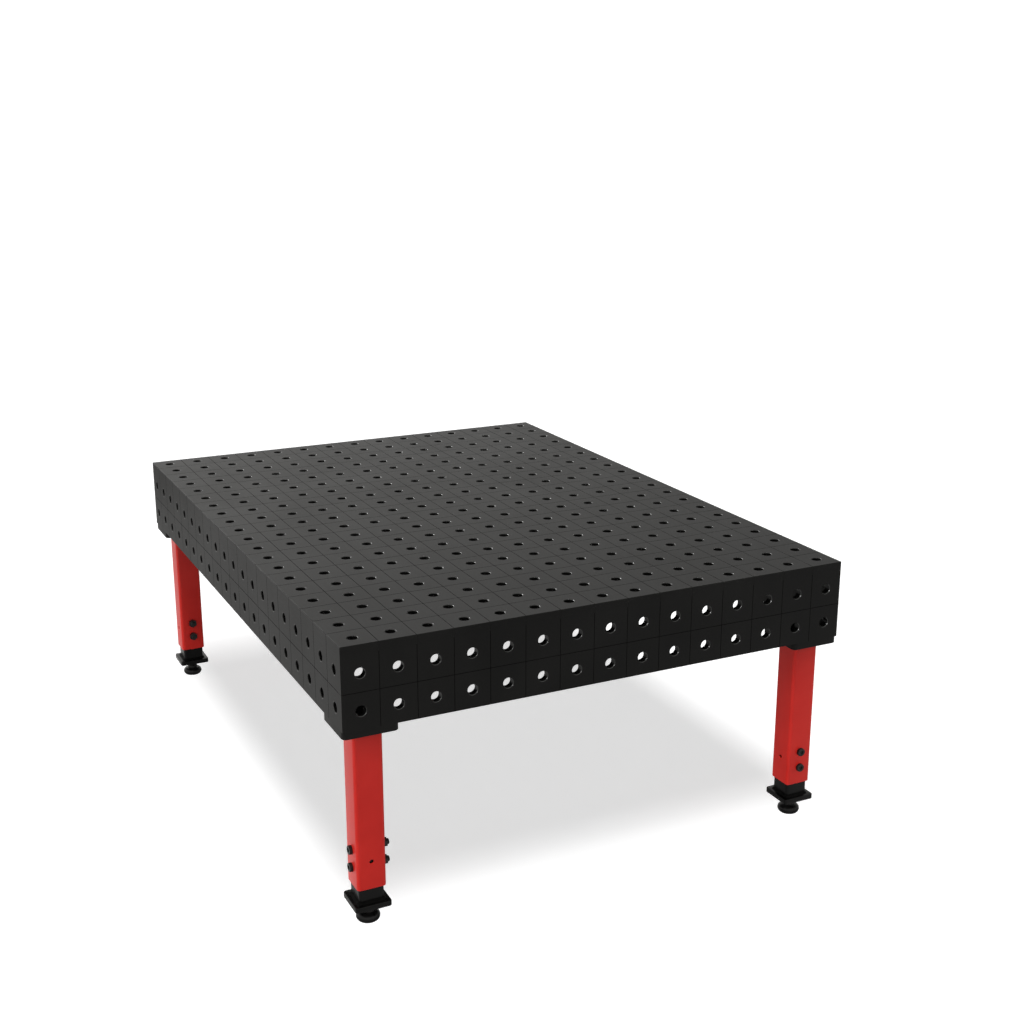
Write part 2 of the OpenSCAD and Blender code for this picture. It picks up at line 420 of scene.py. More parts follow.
class Look:
    """A material's node tree, built in short steps. Its texture space is the frame, in metres."""

    def __init__(self, name, **sockets):
        self.material = bpy.data.materials.new(name)
        self.material.use_nodes = True
        self.tree = self.material.node_tree
        self.shader = self.tree.nodes["Principled BSDF"]
        for socket, value in sockets.items():
            self.shader.inputs[socket.replace("_", " ")].default_value = value
        self.place = self.node("ShaderNodeTexCoord").outputs["Object"]

    def node(self, kind, **settings):
        made = self.tree.nodes.new(kind)
        for name, value in settings.items():
            setattr(made, name, value)
        return made

    def link(self, source, target):
        self.tree.links.new(source, target)

    def stretched(self, scale):
        """The frame's coordinates, stretched."""
        mapping = self.node("ShaderNodeMapping")
        mapping.inputs["Scale"].default_value = scale
        self.link(self.place, mapping.inputs["Vector"])
        return mapping.outputs["Vector"]

    def noise(self, scale, detail=3.0, rough=0.5, vector=None, distortion=0.0):
        made = self.node("ShaderNodeTexNoise")
        made.inputs["Scale"].default_value = scale
        made.inputs["Detail"].default_value = detail
        made.inputs["Roughness"].default_value = rough
        made.inputs["Distortion"].default_value = distortion
        self.link(vector or self.place, made.inputs["Vector"])
        return made.outputs["Fac"]

    def span(self, value, low, high, to_low, to_high):
        """Maps a value from one range to another, held within it."""
        made = self.node("ShaderNodeMapRange")
        for name, number in zip(("From Min", "From Max", "To Min", "To Max"), (low, high, to_low, to_high)):
            made.inputs[name].default_value = number
        self.link(value, made.inputs["Value"])
        return made.outputs["Result"]

    def maths(self, operation, a, b):
        made = self.node("ShaderNodeMath", operation=operation)
        for socket, value in zip(made.inputs, (a, b)):
            if isinstance(value, (int, float)):
                socket.default_value = value
            else:
                self.link(value, socket)
        return made.outputs["Value"]

    def mix(self, share, first, second):
        """A colour between two others, each a colour or a node's output."""
        made = self.node("ShaderNodeMix", data_type="RGBA")
        self.link(share, made.inputs["Factor"])
        for index, value in ((MIX_A, first), (MIX_B, second)):
            if isinstance(value, tuple):
                made.inputs[index].default_value = (*value, 1.0)
            else:
                self.link(value, made.inputs[index])
        return made.outputs[MIX_RESULT]

    def shade(self, value, dark, light):
        """A colour that follows a noise from dark to light."""
        return self.mix(self.span(value, *MIDDLE, 0, 1), dark, light)

    def bump(self, height, strength, distance, under=None):
        made = self.node("ShaderNodeBump")
        made.inputs["Strength"].default_value = strength
        made.inputs["Distance"].default_value = distance
        self.link(height, made.inputs["Height"])
        if under is not None:
            self.link(under, made.inputs["Normal"])
        return made.outputs["Normal"]

    def finish(self, colour=None, roughness=None, normal=None):
        for name, value in (("Base Color", colour), ("Roughness", roughness), ("Normal", normal)):
            if value is not None:
                self.link(value, self.shader.inputs[name])
        return self.material


def nitrided(name, lay, dark, light, rough):
    """Plasma nitrided steel plate. lay stretches the marks of grinding along one axis."""
    look = Look(name, IOR=1.22)
    clouds = look.noise(2.6, 4.0, 0.55, distortion=0.4)
    grain = look.noise(420, 2.0, 0.6)
    lines = look.noise(1.0, 3.0, 0.65, look.stretched(lay))
    share = look.maths("ADD", look.maths("MULTIPLY", clouds, 0.7), look.maths("MULTIPLY", grain, 0.3))
    colour = look.mix(look.span(share, 0.38, 0.62, 0, 1), dark, light)
    worn = look.maths("ADD", look.maths("MULTIPLY", clouds, 0.6), look.maths("MULTIPLY", lines, 0.4))
    roughness = look.span(worn, 0.36, 0.64, *rough)
    normal = look.bump(lines, 0.10, 0.05 * MM)
    normal = look.bump(grain, 0.12, 0.04 * MM, normal)
    return look.finish(colour, roughness, normal)


def engraved():
    """The bottom of an engraved line: darker and nearly without gloss, as painted shade in the groove."""
    look = Look("engraved_line_painted_shade", IOR=1.05)
    spots = look.noise(160, 3.0)
    # painted shade: the groove faces get a darker colour and almost no reflection, standing in for the shade
    # in the line
    colour = look.shade(spots, SOOT, (0.0030, 0.0028, 0.0026))
    return look.finish(colour, look.span(spots, *WIDE, 0.55, 0.75))


def turned(name, colours, rough, ior):
    """Steel that a drill or countersink has cut, blackened with the plate."""
    look = Look(name, IOR=ior)
    spots = look.noise(240, 3.0, 0.6)
    colour = look.shade(spots, *colours)
    rings = look.noise(900, 1.0)
    return look.finish(colour, look.span(spots, *WIDE, *rough), look.bump(rings, 0.08, 0.05 * MM))


def powder_red():
    """Red powder coat, with its faint orange peel."""
    look = Look("red_powder_coat", IOR=1.32)
    clouds = look.noise(7, 3.0)
    peel = look.noise(750, 2.0, 0.45)
    specks = look.noise(2600, 1.0)
    colour = look.shade(clouds, (0.430, 0.0120, 0.0080), (0.480, 0.0160, 0.0110))
    roughness = look.span(look.maths("ADD", clouds, specks), 0.8, 1.2, 0.30, 0.42)
    normal = look.bump(peel, 0.16, 0.06 * MM)
    return look.finish(colour, roughness, normal)


def black_coat():
    """Black satin paint on the inner legs and base plates."""
    look = Look("black_satin_paint", IOR=1.24)
    clouds = look.noise(14, 3.0)
    peel = look.noise(900, 2.0)
    colour = look.shade(clouds, SOOT, (0.0030, 0.0029, 0.0027))
    roughness = look.span(clouds, *WIDE, 0.18, 0.28)
    return look.finish(colour, roughness, look.bump(peel, 0.14, 0.05 * MM))


def black_oxide():
    """Black oxide with a film of oil on screws and nuts."""
    look = Look("black_oxide_steel", IOR=1.35)
    film = look.noise(90, 3.0, 0.6)
    pits = look.noise(1800, 2.0)
    colour = look.shade(film, (0.0016, 0.0017, 0.0019), (0.0070, 0.0064, 0.0058))
    return look.finish(colour, look.span(film, *WIDE, 0.26, 0.44), look.bump(pits, 0.10, 0.03 * MM))


def pad_black():
    """The smooth black coat of a foot pad."""
    look = Look("foot_pad_black", IOR=1.28)
    clouds = look.noise(40, 3.0)
    grain = look.noise(1500, 2.0)
    colour = look.shade(clouds, SOOT, (0.0030, 0.0029, 0.0028))
    return look.finish(colour, look.span(clouds, *WIDE, 0.24, 0.36), look.bump(grain, 0.10, 0.03 * MM))


def painted_weld():
    """The skin of a weld bead under black paint."""
    look = Look("painted_weld", IOR=1.08)
    scale = look.noise(320, 4.0, 0.6)
    colour = look.shade(scale, SOOT, (0.0030, 0.0029, 0.0027))
    return look.finish(colour, look.span(scale, *WIDE, 0.35, 0.6), look.bump(scale, 0.2, 0.08 * MM))


LAY_X, LAY_Y, LAY_FLAT = (10, 1100, 1100), (1100, 10, 1100), (14, 14, 500)
GROUND = ((0.0012, 0.0012, 0.0011), (0.0040, 0.0039, 0.0036), (0.40, 0.47))   # dark, light and roughness
ROLLED = ((0.0018, 0.0018, 0.0017), (0.0065, 0.0062, 0.0057), (0.45, 0.62))
CUT_EDGE = ((0.0020, 0.0020, 0.0019), (0.0060, 0.0058, 0.0054))
CUT_WALL = ((0.0010, 0.0010, 0.0010), (0.0030, 0.0029, 0.0027))

steel_x = nitrided("nitrided_steel_x", LAY_X, *GROUND)
steel_y = nitrided("nitrided_steel_y", LAY_Y, *GROUND)
rolled = nitrided("rolled_flat_steel", LAY_FLAT, *ROLLED)
line_shade_look = engraved()
chamfer_look = turned("countersunk_edge", CUT_EDGE, (0.20, 0.30), 1.5)
bore_look = turned("bored_wall", CUT_WALL, (0.30, 0.42), 1.25)
red = powder_red()
black = black_coat()
oxide = black_oxide()
pad_look = pad_black()
black_weld = painted_weld()


# ---------------------------------------------------------------- the plates

top_low, top_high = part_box("top_plate")
side_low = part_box("side_plate_front")[0].z
row_z = [MOUNTS["front_bores_outer"]["pos_m"][2] + side * PITCH / 2 for side in (-1, 1)]
line_z = [side_low, sum(row_z) / 2, top_low.z]


def grid(low, high):
    """The lines of the cells and the bores between two edges of the table."""
    count = round((high - low) / PITCH)
    return [low + PITCH * k for k in range(count + 1)], [low + PITCH * (k + 0.5) for k in range(count)]


def make_top():
    lines_x, bores_x = grid(top_low.x, top_high.x)
    lines_y, bores_y = grid(top_low.y, top_high.y)
    place = placer((0, 0, top_high.z), (1, 0, 0), (0, 1, 0))
    thick = top_high.z - top_low.z
    shape = bored_plate(place, lines_x, lines_y, bores_x, bores_y, thick, [PLATE_EDGE] * 4, (0, 1, 2, 3))
    looks = [steel_x, line_shade_look, chamfer_look, bore_look]
    shape.piece("top_plate_steel", "table", "nitrided_steel", looks, ["top_plate"])


def make_side(name, outward, steel):
    """A side plate. Seen from outside, its u runs to the right."""
    low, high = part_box(f"side_plate_{name}")
    outward = Vector(outward)
    right = Vector((0, 0, 1)).cross(outward)
    face = max(low.dot(outward), high.dot(outward))
    ends = sorted((low.dot(right), high.dot(right)))
    table_ends = sorted((top_low.dot(right), top_high.dot(right)))
    lines, bores = grid(*table_ends)
    lines[0], lines[-1] = ends
    thick = min((high - low).x, (high - low).y)
    whole = ends == table_ends
    edge = PLATE_EDGE if whole else 0.0
    place = placer(face * outward, right, (0, 0, 1))
    notched = (0, 2) if whole else ()
    shape = bored_plate(place, lines, line_z, bores, row_z, thick, [edge, 0.0, edge, 0.0], notched)
    looks = [steel, line_shade_look, chamfer_look, bore_look]
    shape.piece(f"side_plate_{name}_steel", "table", "nitrided_steel", looks, [f"side_plate_{name}"])


make_top()
make_side("front", (1, 0, 0), steel_y)
make_side("rear", (-1, 0, 0), steel_y)
make_side("left", (0, -1, 0), steel_x)
make_side("right", (0, 1, 0), steel_x)

for node, thing in frame["nodes"].items():
    if "_rib_" in node or node.startswith("leg_plug"):
        for material_slot in thing.material_slots:
            material_slot.material = rolled


# ---------------------------------------------------------------- the legs

def leg_frame(leg):
    """The matrix from a leg's own frame, about its axis, to the row frame."""
    low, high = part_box(f"leg_tube_{leg}")
    axis = Vector(((low.x + high.x) / 2, (low.y + high.y) / 2, 0))
    return Matrix.Translation(axis) @ Matrix.Rotation(math.radians(TURN[leg]), 4, "Z")


FIRST = LEGS[0]                                # every leg is built like this one

TUBE_W, TUBE_T, TUBE_R = 80 * MM, 5 * MM, 10 * MM      # the leg tube: width, wall and corner radius
INSERT_T, INSERT_R = 4 * MM, 8 * MM            # the inner tube: wall and corner radius
TUBE_EDGE, INSERT_EDGE = 0.6 * MM, 0.5 * MM    # the chamfers of their ends and holes
SLOT_R = 8.5 * MM                              # its slots, and how far up their round ends are centred
SLOT_LOW, SLOT_HIGH = 94.45 * MM, 243.55 * MM
SLOT_MARGIN = 14 * MM                          # the flat face round a slot, past those centres
CROSS_R = 6 * MM                               # the cross hole between the clamp bolts
CLAMP_BOLT = dict(
    radius=8 * MM, length=102 * MM, head_r=12 * MM, head_h=9 * MM,
    socket=12 * MM, deep=5 * MM, pitch=2 * MM, threaded=26 * MM,
)
BOLT_HOLE_R = 8.05 * MM
CLAMP_NUT_FLATS, CLAMP_NUT_H = 24 * MM, 16 * MM
LEG_SCREW = dict(
    radius=5 * MM, length=35 * MM, head_r=8 * MM, head_h=10 * MM,
    socket=8 * MM, deep=5 * MM, pitch=1.5 * MM, threaded=24 * MM,
)
LEG_SCREW_OUT = 20 * MM                        # from a leg's axis to its screws, along X and Y
LEG_SCREW_HOLE_R, LEG_SCREW_MOUTH = 5.5 * MM, 0.5 * MM
CORNER_R, CORNER_EDGE = 14 * MM, 0.8 * MM      # a corner plate's corner radius and chamfer
BASE_W, BASE_R, BASE_EDGE = 100 * MM, 8 * MM, 1.5 * MM
BASE_HOLE_R = 10.5 * MM
FOOT_SCREW_R, FOOT_PITCH = 10 * MM, 2.5 * MM   # the levelling screw, M20
FOOT_FLATS, FOOT_HOLE_R = 30 * MM, 10.05 * MM  # its nuts and its collar
COLLAR_LOW, COLLAR_H = 25.1 * MM, 10 * MM
NECK_R, NECK_H = 8.9 * MM, 1 * MM              # where the thread ends above the collar
SPIGOT_R, SPIGOT_EDGE = 8 * MM, 1 * MM
PAD_BORE_R, PAD_BORE_DEEP = 8.05 * MM, 15 * MM
BEAD_LEG, BEAD_RIPPLE, BEAD_STEP = 5.5 * MM, 3 * MM, 0.7 * MM
BEAD_SEED = 7
STRAIGHT = 10 * MM                             # a tube's outline has longer steps only on its flat sides


def height(node):
    """The lowest and the highest z of a part of the first leg."""
    low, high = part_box(f"{node}_{FIRST}")
    return low.z, high.z


def across(node):
    """The width of a part of the first leg."""
    low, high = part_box(f"{node}_{FIRST}")
    return (high - low).x


def bolt_heights():
    """The heights of the two clamp bolts."""
    low, high = height("clamp_bolts")
    return low + CLAMP_BOLT["head_r"], high - CLAMP_BOLT["head_r"]


def square_tube(shape, width, wall, radius, low, high, holes, edge):
    """A square tube. Each hole is (side from +Y, z, radius, straight half, and the z of its face's ends)."""
    steps = 8
    flat = width / 2 - radius
    bands = sorted({low + edge, high - edge} | {z for hole in holes for z in hole[4:]})
    levels = [low] + bands + [high]
    outer = [round_square(width - 2 * edge, radius - edge, low, steps)]
    outer += [round_square(width, radius, z, steps) for z in bands]
    outer += [round_square(width - 2 * edge, radius - edge, high, steps)]
    inner = [round_square(width - 2 * wall, radius - wall, z, steps) for z in levels]
    count = len(outer[0])
    for ring in range(len(levels) - 1):
        low_z, high_z = levels[ring], levels[ring + 1]
        for k in range(count):
            n = (k + 1) % count
            side = k // (steps + 1)
            hole = None
            if k % (steps + 1) == steps:
                hole = next((h for h in holes if h[0] % 4 == side and h[4] == low_z), None)
            if hole is None:
                shape.face([outer[ring][k], outer[ring][n], outer[ring + 1][n], outer[ring + 1][k]])
                shape.face([inner[ring][n], inner[ring][k], inner[ring + 1][k], inner[ring + 1][n]])
                continue
            turn = Matrix.Rotation(math.pi / 2 * side, 3, "Z")
            place = placer(turn @ Vector((0, width / 2, 0)), turn @ Vector((-1, 0, 0)), (0, 0, 1))
            corners = [(flat, low_z), (flat, high_z), (-flat, high_z), (-flat, low_z)]
            middle = (0, hole[1])
            runs = slot_outline(hole[2] + edge, hole[3], steps)
            holed_face(shape, place, corners, middle, runs, 0, True)
            holed_face(shape, place, corners, middle, runs, -wall, False)
            hole_wall(shape, place, middle, hole[2:4], steps, wall, (edge, edge), (0, 0, 0))
    shape.loft([inner[0], outer[0]])
    shape.loft([outer[-1], inner[-1]])


def make_leg_tube():
    low, high = height("leg_tube")
    lower, upper = bolt_heights()
    half = (upper - lower) / 4
    middle = (lower + upper) / 2
    holes = []
    for side in (0, 2):
        for z in (lower, upper):
            holes.append((side, z, BOLT_HOLE_R, 0, z - half, z + half))
        holes.append((side + 1, middle, CROSS_R, 0, middle - half, middle + half))
    shape = Shape()
    square_tube(shape, TUBE_W, TUBE_T, TUBE_R, low, high, holes, TUBE_EDGE)
    return shape


def make_insert_tube():
    low, high = height("insert_tube")
    slot_low, slot_high = low + SLOT_LOW, low + SLOT_HIGH
    middle, straight = (slot_low + slot_high) / 2, (slot_high - slot_low) / 2
    reach = straight + SLOT_MARGIN
    holes = [(side, middle, SLOT_R, straight, middle - reach, middle + reach) for side in (0, 2)]
    shape = Shape()
    square_tube(shape, across("insert_tube"), INSERT_T, INSERT_R, low, high, holes, INSERT_EDGE)
    return shape


def make_base_plate():
    """A base plate with its hole, and with rounded edges in three steps."""
    low, high = height("base_plate")
    steps = 8
    count = 4 * (steps + 1)                    # as many points as round_square has
    start = math.pi / count
    rings = [circle(BASE_HOLE_R, high, count, start), circle(BASE_HOLE_R, low, count, start)]
    arc = [(math.sin(math.pi / 6 * k), math.cos(math.pi / 6 * k)) for k in range(4)]
    edges = [(BASE_EDGE * (1 - sine), low + BASE_EDGE * (1 - cosine)) for sine, cosine in arc]
    edges += [(BASE_EDGE * (1 - cosine), high - BASE_EDGE * (1 - sine)) for sine, cosine in arc]
    rings += [round_square(BASE_W - 2 * inset, BASE_R - inset, z, steps) for inset, z in edges]
    rings.append(rings[0])
    shape = Shape()
    shape.loft(rings)
    return shape


def corner_outline(shape, place, width, thick, off, steps):
    """A corner plate's sides, and its faces between the outline and the square that holds the screws."""
    top = round_square(width, CORNER_R, 0, steps)
    bottom = round_square(width - 2 * CORNER_EDGE, CORNER_R - CORNER_EDGE, 0, steps)
    at_top = [place(p.x, p.y, 0) for p in top]
    over_edge = [place(p.x, p.y, CORNER_EDGE - thick) for p in top]
    at_bottom = [place(p.x, p.y, -thick) for p in bottom]
    shape.loft([at_bottom, over_edge, at_top])
    reach = 2 * LEG_SCREW_OUT
    for w, up, outline in ((0, True, top), (-thick, False, bottom)):
        for k in range(4):
            first = k * (steps + 1) + steps // 2
            run = [outline[(first + n) % len(outline)] for n in range(steps + 2)]
            turn = Matrix.Rotation(math.pi / 2 * k, 2)
            inner = [turn @ Vector(p) for p in ((-reach, reach), (0, reach), (reach, reach))]
            points = [place(p.x, p.y, w) for p in run]
            points += [place(p.x + off[0], p.y + off[1], w) for p in inner]
            shape.face(points if up else points[::-1])


def corner_holes(shape, place, thick, off, steps):
    """The four cells of a corner plate that hold the leg screws' holes."""
    cell, edge = LEG_SCREW_OUT, LEG_SCREW_MOUTH
    for sx in (-1, 1):
        for sy in (-1, 1):
            middle = (off[0] + sx * cell, off[1] + sy * cell)
            corners = [
                (middle[0] + cell, middle[1] - cell), (middle[0] + cell, middle[1] + cell),
                (middle[0] - cell, middle[1] + cell), (middle[0] - cell, middle[1] - cell),
            ]
            runs = slot_outline(LEG_SCREW_HOLE_R + edge, 0, steps)
            holed_face(shape, place, corners, middle, runs, 0, True)
            holed_face(shape, place, corners, middle, runs, -thick, False)
            hole_wall(shape, place, middle, (LEG_SCREW_HOLE_R, 0), steps, thick, (edge, edge), (0, 0, 0))


def make_corner_plate(leg):
    """A corner plate in the row frame, with the leg screws' four holes."""
    low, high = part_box(f"corner_plate_{leg}")
    centre = (low + high) / 2
    axis = leg_frame(leg).translation
    off = (axis.x - centre.x, axis.y - centre.y)
    place = placer((centre.x, centre.y, high.z), (1, 0, 0), (0, 1, 0))
    thick = high.z - low.z
    steps = 8
    shape = Shape()
    corner_outline(shape, place, high.x - low.x, thick, off, steps)
    corner_holes(shape, place, thick, off, steps)
    return shape


BOLT_ALONG = Matrix.Rotation(math.radians(90), 4, "X")   # turns +Z to -Y, where the heads are


def make_clamp_bolts():
    shape = Shape()
    for z in bolt_heights():
        place = Matrix.Translation((0, -TUBE_W / 2, z)) @ BOLT_ALONG
        socket_screw(shape, matrix=place, **CLAMP_BOLT)
    return shape


def make_clamp_nuts():
    shape = Shape()
    for z in bolt_heights():
        place = Matrix.Translation((0, TUBE_W / 2, z)) @ BOLT_ALONG.inverted()
        hex_nut(shape, CLAMP_NUT_FLATS, CLAMP_NUT_H, BOLT_HOLE_R, place)
    return shape


def make_screw_nut(node):
    low, high = height(node)
    shape = Shape()
    hex_nut(shape, FOOT_FLATS, high - low, FOOT_HOLE_R, Matrix.Translation((0, 0, low)))
    return shape


def make_foot_screw():
    """The levelling screw: a spigot in the pad, a collar for the spanner, and the thread."""
    low, high = height("foot_screw")
    count = 48
    collar_high = COLLAR_LOW + COLLAR_H
    chamfer_r, lower, upper = hex_rims(FOOT_FLATS, COLLAR_LOW, COLLAR_H, count)
    shape = Shape()
    shape.loft([
        circle(0, low, count), circle(SPIGOT_R - SPIGOT_EDGE, low, count),
        circle(SPIGOT_R, low + SPIGOT_EDGE, count), circle(SPIGOT_R, COLLAR_LOW, count),
        circle(chamfer_r, COLLAR_LOW, count), lower, upper,
        circle(chamfer_r, collar_high, count), circle(NECK_R, collar_high, count),
        circle(NECK_R, collar_high + NECK_H, count),
    ])
    start = collar_high + NECK_H / 2
    thread(shape, FOOT_SCREW_R, FOOT_PITCH, start, high, Matrix.Identity(4), count)
    return shape


def make_foot_pad():
    """A round pad with a half-round rim, and a bore for the screw's spigot."""
    low, high = height("foot_pad")
    rim = (high - low) / 2
    flat_r = across("foot_pad") / 2 - rim
    count, arc = 72, 16
    rings = [circle(0, low, count)]
    for k in range(arc + 1):
        angle = math.pi * k / arc
        rings.append(circle(flat_r + rim * math.sin(angle), low + rim - rim * math.cos(angle), count))
    rings += [
        circle(PAD_BORE_R + MOUTH, high, count), circle(PAD_BORE_R, high - MOUTH, count),
        circle(PAD_BORE_R, high - PAD_BORE_DEEP, count), circle(0, high - PAD_BORE_DEEP, count),
    ]
    shape = Shape()
    shape.loft(rings)
    return shape


def make_base_weld():
    """The fillet weld between the inner tube and its base plate."""
    low = height("insert_tube")[0]
    width = across("insert_tube")
    corner = width / 2 - INSERT_R              # how far out a corner's middle is
    outline = round_square(width, INSERT_R, low, 10)
    up = Vector((0, 0, 1))
    path = []
    for k, point in enumerate(outline):
        after = outline[(k + 1) % len(outline)]
        run = after - point
        count = max(1, round(run.length / BEAD_STEP))
        for n in range(count):
            at = point.lerp(after, n / count)
            middle = Vector((math.copysign(corner, at.x), math.copysign(corner, at.y), low))
            out = run.cross(up) if run.length > STRAIGHT else at - middle
            path.append((at, out.normalized(), up))
    shape = Shape()
    weld(shape, path, BEAD_LEG, BEAD_RIPPLE, BEAD_SEED)
    return shape


def make_legs():
    """Each leg's pieces, all built once about the first leg's axis and placed four times."""
    kinds = (
        ("leg_tube", "table", "red_paint", red, make_leg_tube()),
        ("clamp_bolts", "table", "black_bolts", oxide, make_clamp_bolts()),
        ("clamp_nuts", "table", "black_bolts", oxide, make_clamp_nuts()),
        ("insert_tube", "inner_leg", "black_steel", black, make_insert_tube()),
        ("base_plate", "inner_leg", "black_steel", black, make_base_plate()),
        ("base_weld", "inner_leg", "black_steel", black_weld, make_base_weld()),
        ("weld_nut", "inner_leg", "black_bolts", oxide, make_screw_nut("weld_nut")),
        ("lock_nut", "inner_leg", "black_bolts", oxide, make_screw_nut("lock_nut")),
        ("foot_screw", "screw", "black_bolts", oxide, make_foot_screw()),
        ("foot_pad", "foot", "foot_black", pad_look, make_foot_pad()),
    )
    for leg in LEGS:
        place = leg_frame(leg)
        for name, body, slot, look, shape in kinds:
            rides_on = body if body == "table" else f"{body}_{leg}"
            stands_for = [] if name == "base_weld" else [f"{name}_{leg}"]
            shape.piece(f"{name}_{leg}_fine", rides_on, slot, [look], stands_for, place)
        plate = make_corner_plate(leg)
        plate.piece(f"corner_plate_{leg}_fine", "table", "nitrided_steel", [steel_x], [f"corner_plate_{leg}"])


def make_leg_screws():
    """The sixteen screws that hold the legs, as one piece."""
    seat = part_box("leg_screws")[1].z - LEG_SCREW["head_h"]
    shape = Shape()
    for leg in LEGS:
        for sx in (-1, 1):
            for sy in (-1, 1):
                spot = Matrix.Translation((sx * LEG_SCREW_OUT, sy * LEG_SCREW_OUT, seat))
                socket_screw(shape, matrix=leg_frame(leg) @ spot, **LEG_SCREW)
    shape.piece("leg_screws_fine", "table", "black_bolts", [oxide], ["leg_screws"])


make_legs()
make_leg_screws()


# ---------------------------------------------------------------- the studio

FLOOR_R, FLOOR_START = 80.0, 20 * MM           # the floor's radius, and its height before the feet hold it
FLOOR_GLOW, FLOOR_ALBEDO = 0.690, 0.60         # the floor's shadows stay pale
WALL_R, WALL_LOW, WALL_HIGH, WALL_GLOW = 79.0, -4.0, 40.0, 1.2
CARD_GLOW = 0.76                               # the bright floor, as the table mirrors it
CARD_LEFT, CARD_REACH = -3.35, 9.0             # how far it goes along -X, and the other ways
SKY_HORIZON, SKY_HIGH, SKY_LOW = 1.40, 1.15, 0.35     # what the table mirrors: low and high sky, and below
HORIZON_BAND, RISE_BAND = (-0.08, 0.02), (0.1, 0.5)   # the rises over which they change
SKY_TINT = (1.0, 0.99, 0.965, 1)
SIDE_WAY, SIDE_DIM, SIDE_BAND = (-0.30, 0.95, 0.0), 0.45, (0.35, 0.95)   # a dimmer part of the sky
GLINTS = (                                     # way, strength, and the one plate that mirrors it
    ((-0.80, -0.34, 0.47), 0.7, "top_plate"),
    ((0.67, -0.65, 0.36), 0.9, "side_plate_front"),
)
BOUNCE, BOUNCE_STRENGTH = (-0.83, -0.29, -0.47), 1.1  # the light off the floor on the left
KEYS = (((0.04, -0.13, 1.0), 0.78), ((0.21, -0.13, 1.0), 0.88), ((0.38, -0.13, 1.0), 1.32))
FILLS = (
    ((1.0, -0.15, 0.28), 1.5), ((-0.1, -1.0, 0.25), 2.9),
    ((0.1, 1.0, 0.25), 1.6), ((-1.0, 0.1, 0.25), 1.6), ((0.0, 0.0, -1.0), 1.5),
)
GLINT_SPREAD, KEY_SPREAD, BOUNCE_SPREAD, FILL_SPREAD = 12, 18, 50, 60    # degrees
CAMERA_AT, CAMERA_TILT, CAMERA_TURN = (4.0749, -1.7928, 2.0784), 73.7335, 63.95
CAMERA_LENS, CAMERA_SENSOR, CAMERA_REACH = 50.625, 36.0, 400.0


def staged(name, points, faces, material):
    """A piece of the studio."""
    mesh = bpy.data.meshes.new(name)
    mesh.from_pydata(points, [], faces)
    mesh.materials.append(material)
    made = bpy.data.objects.new(name, mesh)
    bpy.context.scene.collection.objects.link(made)
    return made


def glow(name, colour, strength, albedo=0.0):
    """A pale surface that gives some light of its own, so that its shadows stay pale."""
    made = bpy.data.materials.new(name)
    made.use_nodes = True
    shader = made.node_tree.nodes["Principled BSDF"]
    shader.inputs["Base Color"].default_value = (albedo, albedo, albedo, 1)
    shader.inputs["Roughness"].default_value = 1.0
    shader.inputs["Specular IOR Level"].default_value = 0.0
    shader.inputs["Emission Color"].default_value = (*colour, 1)
    shader.inputs["Emission Strength"].default_value = strength
    return made


def camera_only(thing):
    """Hides a thing from all but the camera: the lamps and the sky light the table."""
    thing.visible_diffuse = False
    thing.visible_glossy = False
    thing.visible_transmission = False
    thing.visible_volume_scatter = False
    thing.visible_shadow = False


def make_floor():
    """The floor. It starts above the soles, and each foot holds it down: it touches the lowest one."""
    ring = [tuple(p) for p in circle(FLOOR_R, 0.0, 128)]
    material = glow("pale_floor", (1, 1, 1), FLOOR_GLOW, FLOOR_ALBEDO)
    floor = staged("floor", ring, [list(range(len(ring)))], material)
    camera_only(floor)
    floor.location.z = FLOOR_START
    for leg in LEGS:
        held = floor.constraints.new("FLOOR")
        held.target = bpy.data.objects[f"foot_pad_{leg}_fine"]
        held.floor_location = "FLOOR_NEGATIVE_Z"
    return floor


def rectangle(low_x, low_y, high_x, high_y):
    return [(low_x, low_y), (high_x, low_y), (high_x, high_y), (low_x, high_y)]


def make_card(floor):
    """The bright floor round the table, but not under it, as a card that only mirrors see."""
    outline = rectangle(CARD_LEFT, -CARD_REACH, CARD_REACH, CARD_REACH)
    shadow = rectangle(top_low.x, top_low.y, top_high.x, top_high.y)
    points = [(x, y, 1 * MM) for x, y in outline + shadow]
    faces = [(k, (k + 1) % 4, 4 + (k + 1) % 4, 4 + k) for k in range(4)]
    made = staged("floor_card", points, faces, glow("floor_card", (1.0, 0.99, 0.97), CARD_GLOW))
    camera_only(made)
    made.visible_glossy = True
    made.visible_camera = False
    made.parent = floor


def make_backdrop():
    """A white wall all round, far away."""
    count = 96
    points = [tuple(p) for z in (WALL_LOW, WALL_HIGH) for p in circle(WALL_R, z, count)]
    faces = [[k, (k + 1) % count, count + (k + 1) % count, count + k] for k in range(count)]
    camera_only(staged("backdrop", points, faces, glow("white_backdrop", (1, 1, 1), WALL_GLOW)))


